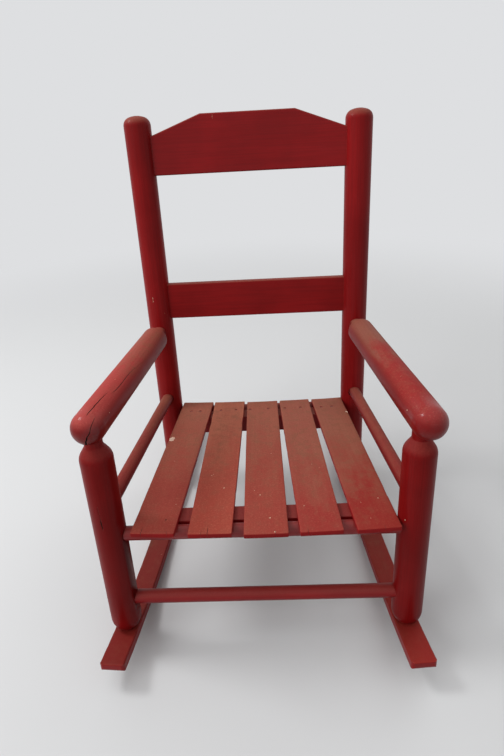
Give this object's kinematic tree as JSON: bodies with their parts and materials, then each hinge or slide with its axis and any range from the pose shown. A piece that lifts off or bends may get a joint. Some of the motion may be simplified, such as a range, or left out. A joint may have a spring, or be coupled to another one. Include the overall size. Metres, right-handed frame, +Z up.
{
  "type": "child rocking chair",
  "caption": "Child's wooden rocking chair: round posts and arms, a slatted seat, two flat back boards and thin curved runners.",
  "frame": {"origin": "on the floor, under the middle of the chair's box", "axes": "+Z up, -Y towards the front of the chair, +X to the right as seen by someone who faces the chair"},
  "size_m": [0.3676, 0.5322, 0.5584],
  "materials": {
    "post_paint": "deep red satin paint on turned wood",
    "arm_paint": "red satin paint, worn on top",
    "board_paint": "deep red satin paint on flat board",
    "runner_paint": "red satin paint",
    "seat_paint": "faded brick red paint, dull",
    "nail_steel": "steel nails painted over with the seat"
  },
  "bodies": {
    "root": {"arm_left": "arm_paint", "arm_right": "arm_paint", "back_slat": "board_paint", "crest_rail": "board_paint", "front_post_left": "post_paint", "front_post_right": "post_paint", "front_seat_batten": "seat_paint", "front_seat_rung": "post_paint", "front_stretcher": "post_paint", "rear_post_left": "post_paint", "rear_post_right": "post_paint", "rear_seat_batten": "seat_paint", "rear_seat_rung": "post_paint", "rocker_left": "runner_paint", "rocker_right": "runner_paint", "seat_slat_1": "seat_paint", "seat_slat_2": "seat_paint", "seat_slat_3": "seat_paint", "seat_slat_4": "seat_paint", "seat_slat_5": "seat_paint", "seat_slat_nails": "nail_steel", "side_rung_left": "post_paint", "side_rung_right": "post_paint"}
  },
  "joints": []
}
